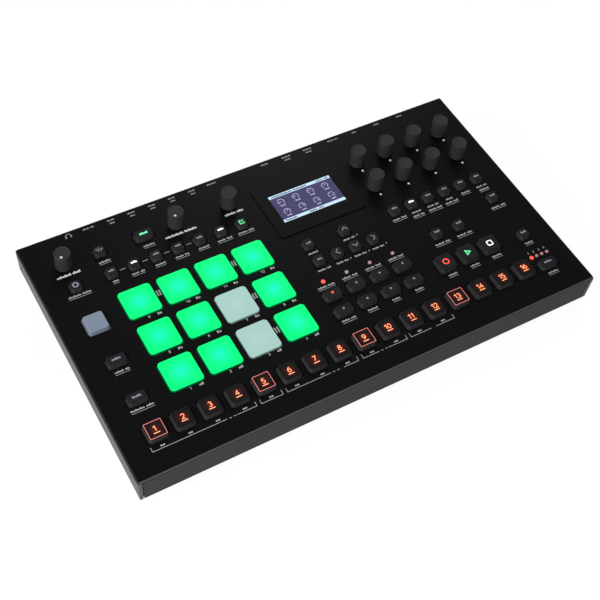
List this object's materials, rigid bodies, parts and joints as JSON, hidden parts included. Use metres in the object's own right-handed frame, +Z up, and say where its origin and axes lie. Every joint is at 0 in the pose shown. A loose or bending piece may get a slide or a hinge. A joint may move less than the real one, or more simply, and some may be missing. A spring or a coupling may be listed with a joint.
{
  "type": "drum machine",
  "caption": "Desktop drum machine: a low wedge case with lit drum pads, a row of step keys, knobs, push buttons, a small screen and a back wall of sockets.",
  "frame": {"origin": "on the table under the middle of the overall box", "axes": "+X to the right of the person who plays it, +Y to the back with the sockets, +Z up"},
  "size_m": [0.385, 0.2254, 0.082],
  "materials": {
    "panel_paint": "fine-textured black powder coat",
    "case_paint": "brownish black powder coat",
    "foot_rubber": "matte black rubber",
    "screw_steel": "blackened steel",
    "frame_gloss": "smooth black",
    "screen_glass": "dark blue lit screen",
    "board": "green solder mask",
    "encoder_metal": "plated steel",
    "lamp_lens": "milky lens",
    "socket_black": "moulded black",
    "socket_metal": "nickel-plated shell",
    "button_black": "satin black keycap",
    "button_grey": "pale blue-grey keycap, lit from within",
    "knob_black": "soft-touch dark grey",
    "pad_green": "translucent silicone lit green",
    "pad_pale": "translucent silicone, unlit",
    "key_black": "satin black keycap with a lit number"
  },
  "bodies": {
    "case": {"chassis_tray": "case_paint", "side_panels": "case_paint", "top_panel": "panel_paint", "rubber_feet": "foot_rubber", "case_screws": "screw_steel", "display_frame": "frame_gloss", "display_module": "screen_glass", "back_panel": "case_paint", "circuit_boards": "board", "encoder_bodies": "encoder_metal", "status_lamps": "lamp_lens", "phone_jacks": "socket_black", "midi_sockets": "socket_black", "usb_socket": "socket_metal", "dc_inlet": "socket_black"},
    "power_button": {"power_button": "button_black"},
    "function_button": {"function_button": "button_grey"},
    "small_buttons": {"small_buttons": "button_black"},
    "navigation_buttons": {"navigation_buttons": "button_black"},
    "wide_buttons": {"wide_buttons": "button_black"},
    "transport_buttons": {"transport_buttons": "button_black"},
    "volume_knob": {"volume_knob": "knob_black"},
    "performance_knob": {"performance_knob": "knob_black"},
    "level_knob": {"level_knob": "knob_black"},
    "data_knob_1": {"data_knob_1": "knob_black"},
    "data_knob_2": {"data_knob_2": "knob_black"},
    "data_knob_3": {"data_knob_3": "knob_black"},
    "data_knob_4": {"data_knob_4": "knob_black"},
    "data_knob_5": {"data_knob_5": "knob_black"},
    "data_knob_6": {"data_knob_6": "knob_black"},
    "data_knob_7": {"data_knob_7": "knob_black"},
    "data_knob_8": {"data_knob_8": "knob_black"},
    "drum_pad_1": {"drum_pad_1": "pad_green"},
    "drum_pad_2": {"drum_pad_2": "pad_green"},
    "drum_pad_3": {"drum_pad_3": "pad_pale"},
    "drum_pad_4": {"drum_pad_4": "pad_green"},
    "drum_pad_5": {"drum_pad_5": "pad_green"},
    "drum_pad_6": {"drum_pad_6": "pad_green"},
    "drum_pad_7": {"drum_pad_7": "pad_pale"},
    "drum_pad_8": {"drum_pad_8": "pad_green"},
    "drum_pad_9": {"drum_pad_9": "pad_green"},
    "drum_pad_10": {"drum_pad_10": "pad_green"},
    "drum_pad_11": {"drum_pad_11": "pad_green"},
    "drum_pad_12": {"drum_pad_12": "pad_green"},
    "step_key_1": {"step_key_1": "key_black"},
    "step_key_2": {"step_key_2": "key_black"},
    "step_key_3": {"step_key_3": "key_black"},
    "step_key_4": {"step_key_4": "key_black"},
    "step_key_5": {"step_key_5": "key_black"},
    "step_key_6": {"step_key_6": "key_black"},
    "step_key_7": {"step_key_7": "key_black"},
    "step_key_8": {"step_key_8": "key_black"},
    "step_key_9": {"step_key_9": "key_black"},
    "step_key_10": {"step_key_10": "key_black"},
    "step_key_11": {"step_key_11": "key_black"},
    "step_key_12": {"step_key_12": "key_black"},
    "step_key_13": {"step_key_13": "key_black"},
    "step_key_14": {"step_key_14": "key_black"},
    "step_key_15": {"step_key_15": "key_black"},
    "step_key_16": {"step_key_16": "key_black"}
  },
  "joints": [
    {"name": "power_button_press", "type": "slide", "parent": "case", "child": "power_button", "axis": [0, -0.9799, -0.1994], "range_m": [0, 0.0012], "stiffness_N_per_m": 1500, "springref_m": -0.001},
    {"name": "function_button_press", "type": "slide", "parent": "case", "child": "function_button", "axis": [0, 0.1994, -0.9799], "range_m": [0, 0.001], "stiffness_N_per_m": 1200, "springref_m": -0.001},
    {"name": "small_buttons_press", "type": "slide", "parent": "case", "child": "small_buttons", "axis": [0, 0.1994, -0.9799], "range_m": [0, 0.0006], "stiffness_N_per_m": 6000, "springref_m": -0.0005},
    {"name": "navigation_buttons_press", "type": "slide", "parent": "case", "child": "navigation_buttons", "axis": [0, 0.1994, -0.9799], "range_m": [0, 0.0006], "stiffness_N_per_m": 3000, "springref_m": -0.0005},
    {"name": "wide_buttons_press", "type": "slide", "parent": "case", "child": "wide_buttons", "axis": [0, 0.1994, -0.9799], "range_m": [0, 0.0006], "stiffness_N_per_m": 5000, "springref_m": -0.0005},
    {"name": "transport_buttons_press", "type": "slide", "parent": "case", "child": "transport_buttons", "axis": [0, 0.1994, -0.9799], "range_m": [0, 0.001], "stiffness_N_per_m": 3000, "springref_m": -0.0005},
    {"name": "volume_knob_turn", "type": "hinge", "parent": "case", "child": "volume_knob", "pos_m": [-0.16573, 0.07047, 0.06603], "axis": [0, -0.1994, 0.9799], "range_deg": [-300, 0]},
    {"name": "performance_knob_turn", "type": "hinge", "parent": "case", "child": "performance_knob", "pos_m": [-0.0741, 0.07047, 0.06603], "axis": [0, -0.1994, 0.9799], "range_deg": [-300, 0]},
    {"name": "level_knob_turn", "type": "hinge", "parent": "case", "child": "level_knob", "pos_m": [-0.0286, 0.07047, 0.06603], "axis": [0, -0.1994, 0.9799], "continuous": true},
    {"name": "data_knob_1_turn", "type": "hinge", "parent": "case", "child": "data_knob_1", "pos_m": [0.08645, 0.06518, 0.06495], "axis": [0, -0.1994, 0.9799], "continuous": true},
    {"name": "data_knob_2_turn", "type": "hinge", "parent": "case", "child": "data_knob_2", "pos_m": [0.11315, 0.06518, 0.06495], "axis": [0, -0.1994, 0.9799], "continuous": true},
    {"name": "data_knob_3_turn", "type": "hinge", "parent": "case", "child": "data_knob_3", "pos_m": [0.13985, 0.06518, 0.06495], "axis": [0, -0.1994, 0.9799], "continuous": true},
    {"name": "data_knob_4_turn", "type": "hinge", "parent": "case", "child": "data_knob_4", "pos_m": [0.16655, 0.06518, 0.06495], "axis": [0, -0.1994, 0.9799], "continuous": true},
    {"name": "data_knob_5_turn", "type": "hinge", "parent": "case", "child": "data_knob_5", "pos_m": [0.08645, 0.03774, 0.05937], "axis": [0, -0.1994, 0.9799], "continuous": true},
    {"name": "data_knob_6_turn", "type": "hinge", "parent": "case", "child": "data_knob_6", "pos_m": [0.11315, 0.03774, 0.05937], "axis": [0, -0.1994, 0.9799], "continuous": true},
    {"name": "data_knob_7_turn", "type": "hinge", "parent": "case", "child": "data_knob_7", "pos_m": [0.13985, 0.03774, 0.05937], "axis": [0, -0.1994, 0.9799], "continuous": true},
    {"name": "data_knob_8_turn", "type": "hinge", "parent": "case", "child": "data_knob_8", "pos_m": [0.16655, 0.03774, 0.05937], "axis": [0, -0.1994, 0.9799], "continuous": true},
    {"name": "drum_pad_1_press", "type": "slide", "parent": "case", "child": "drum_pad_1", "axis": [0, 0.1994, -0.9799], "range_m": [0, 0.0008], "stiffness_N_per_m": 5000, "springref_m": -0.0002},
    {"name": "drum_pad_2_press", "type": "slide", "parent": "case", "child": "drum_pad_2", "axis": [0, 0.1994, -0.9799], "range_m": [0, 0.0008], "stiffness_N_per_m": 5000, "springref_m": -0.0002},
    {"name": "drum_pad_3_press", "type": "slide", "parent": "case", "child": "drum_pad_3", "axis": [0, 0.1994, -0.9799], "range_m": [0, 0.0008], "stiffness_N_per_m": 5000, "springref_m": -0.0002},
    {"name": "drum_pad_4_press", "type": "slide", "parent": "case", "child": "drum_pad_4", "axis": [0, 0.1994, -0.9799], "range_m": [0, 0.0008], "stiffness_N_per_m": 5000, "springref_m": -0.0002},
    {"name": "drum_pad_5_press", "type": "slide", "parent": "case", "child": "drum_pad_5", "axis": [0, 0.1994, -0.9799], "range_m": [0, 0.0008], "stiffness_N_per_m": 5000, "springref_m": -0.0002},
    {"name": "drum_pad_6_press", "type": "slide", "parent": "case", "child": "drum_pad_6", "axis": [0, 0.1994, -0.9799], "range_m": [0, 0.0008], "stiffness_N_per_m": 5000, "springref_m": -0.0002},
    {"name": "drum_pad_7_press", "type": "slide", "parent": "case", "child": "drum_pad_7", "axis": [0, 0.1994, -0.9799], "range_m": [0, 0.0008], "stiffness_N_per_m": 5000, "springref_m": -0.0002},
    {"name": "drum_pad_8_press", "type": "slide", "parent": "case", "child": "drum_pad_8", "axis": [0, 0.1994, -0.9799], "range_m": [0, 0.0008], "stiffness_N_per_m": 5000, "springref_m": -0.0002},
    {"name": "drum_pad_9_press", "type": "slide", "parent": "case", "child": "drum_pad_9", "axis": [0, 0.1994, -0.9799], "range_m": [0, 0.0008], "stiffness_N_per_m": 5000, "springref_m": -0.0002},
    {"name": "drum_pad_10_press", "type": "slide", "parent": "case", "child": "drum_pad_10", "axis": [0, 0.1994, -0.9799], "range_m": [0, 0.0008], "stiffness_N_per_m": 5000, "springref_m": -0.0002},
    {"name": "drum_pad_11_press", "type": "slide", "parent": "case", "child": "drum_pad_11", "axis": [0, 0.1994, -0.9799], "range_m": [0, 0.0008], "stiffness_N_per_m": 5000, "springref_m": -0.0002},
    {"name": "drum_pad_12_press", "type": "slide", "parent": "case", "child": "drum_pad_12", "axis": [0, 0.1994, -0.9799], "range_m": [0, 0.0008], "stiffness_N_per_m": 5000, "springref_m": -0.0002},
    {"name": "step_key_1_press", "type": "slide", "parent": "case", "child": "step_key_1", "axis": [0, 0.1994, -0.9799], "range_m": [0, 0.001], "stiffness_N_per_m": 1200, "springref_m": -0.001},
    {"name": "step_key_2_press", "type": "slide", "parent": "case", "child": "step_key_2", "axis": [0, 0.1994, -0.9799], "range_m": [0, 0.001], "stiffness_N_per_m": 1200, "springref_m": -0.001},
    {"name": "step_key_3_press", "type": "slide", "parent": "case", "child": "step_key_3", "axis": [0, 0.1994, -0.9799], "range_m": [0, 0.001], "stiffness_N_per_m": 1200, "springref_m": -0.001},
    {"name": "step_key_4_press", "type": "slide", "parent": "case", "child": "step_key_4", "axis": [0, 0.1994, -0.9799], "range_m": [0, 0.001], "stiffness_N_per_m": 1200, "springref_m": -0.001},
    {"name": "step_key_5_press", "type": "slide", "parent": "case", "child": "step_key_5", "axis": [0, 0.1994, -0.9799], "range_m": [0, 0.001], "stiffness_N_per_m": 1200, "springref_m": -0.001},
    {"name": "step_key_6_press", "type": "slide", "parent": "case", "child": "step_key_6", "axis": [0, 0.1994, -0.9799], "range_m": [0, 0.001], "stiffness_N_per_m": 1200, "springref_m": -0.001},
    {"name": "step_key_7_press", "type": "slide", "parent": "case", "child": "step_key_7", "axis": [0, 0.1994, -0.9799], "range_m": [0, 0.001], "stiffness_N_per_m": 1200, "springref_m": -0.001},
    {"name": "step_key_8_press", "type": "slide", "parent": "case", "child": "step_key_8", "axis": [0, 0.1994, -0.9799], "range_m": [0, 0.001], "stiffness_N_per_m": 1200, "springref_m": -0.001},
    {"name": "step_key_9_press", "type": "slide", "parent": "case", "child": "step_key_9", "axis": [0, 0.1994, -0.9799], "range_m": [0, 0.001], "stiffness_N_per_m": 1200, "springref_m": -0.001},
    {"name": "step_key_10_press", "type": "slide", "parent": "case", "child": "step_key_10", "axis": [0, 0.1994, -0.9799], "range_m": [0, 0.001], "stiffness_N_per_m": 1200, "springref_m": -0.001},
    {"name": "step_key_11_press", "type": "slide", "parent": "case", "child": "step_key_11", "axis": [0, 0.1994, -0.9799], "range_m": [0, 0.001], "stiffness_N_per_m": 1200, "springref_m": -0.001},
    {"name": "step_key_12_press", "type": "slide", "parent": "case", "child": "step_key_12", "axis": [0, 0.1994, -0.9799], "range_m": [0, 0.001], "stiffness_N_per_m": 1200, "springref_m": -0.001},
    {"name": "step_key_13_press", "type": "slide", "parent": "case", "child": "step_key_13", "axis": [0, 0.1994, -0.9799], "range_m": [0, 0.001], "stiffness_N_per_m": 1200, "springref_m": -0.001},
    {"name": "step_key_14_press", "type": "slide", "parent": "case", "child": "step_key_14", "axis": [0, 0.1994, -0.9799], "range_m": [0, 0.001], "stiffness_N_per_m": 1200, "springref_m": -0.001},
    {"name": "step_key_15_press", "type": "slide", "parent": "case", "child": "step_key_15", "axis": [0, 0.1994, -0.9799], "range_m": [0, 0.001], "stiffness_N_per_m": 1200, "springref_m": -0.001},
    {"name": "step_key_16_press", "type": "slide", "parent": "case", "child": "step_key_16", "axis": [0, 0.1994, -0.9799], "range_m": [0, 0.001], "stiffness_N_per_m": 1200, "springref_m": -0.001}
  ]
}
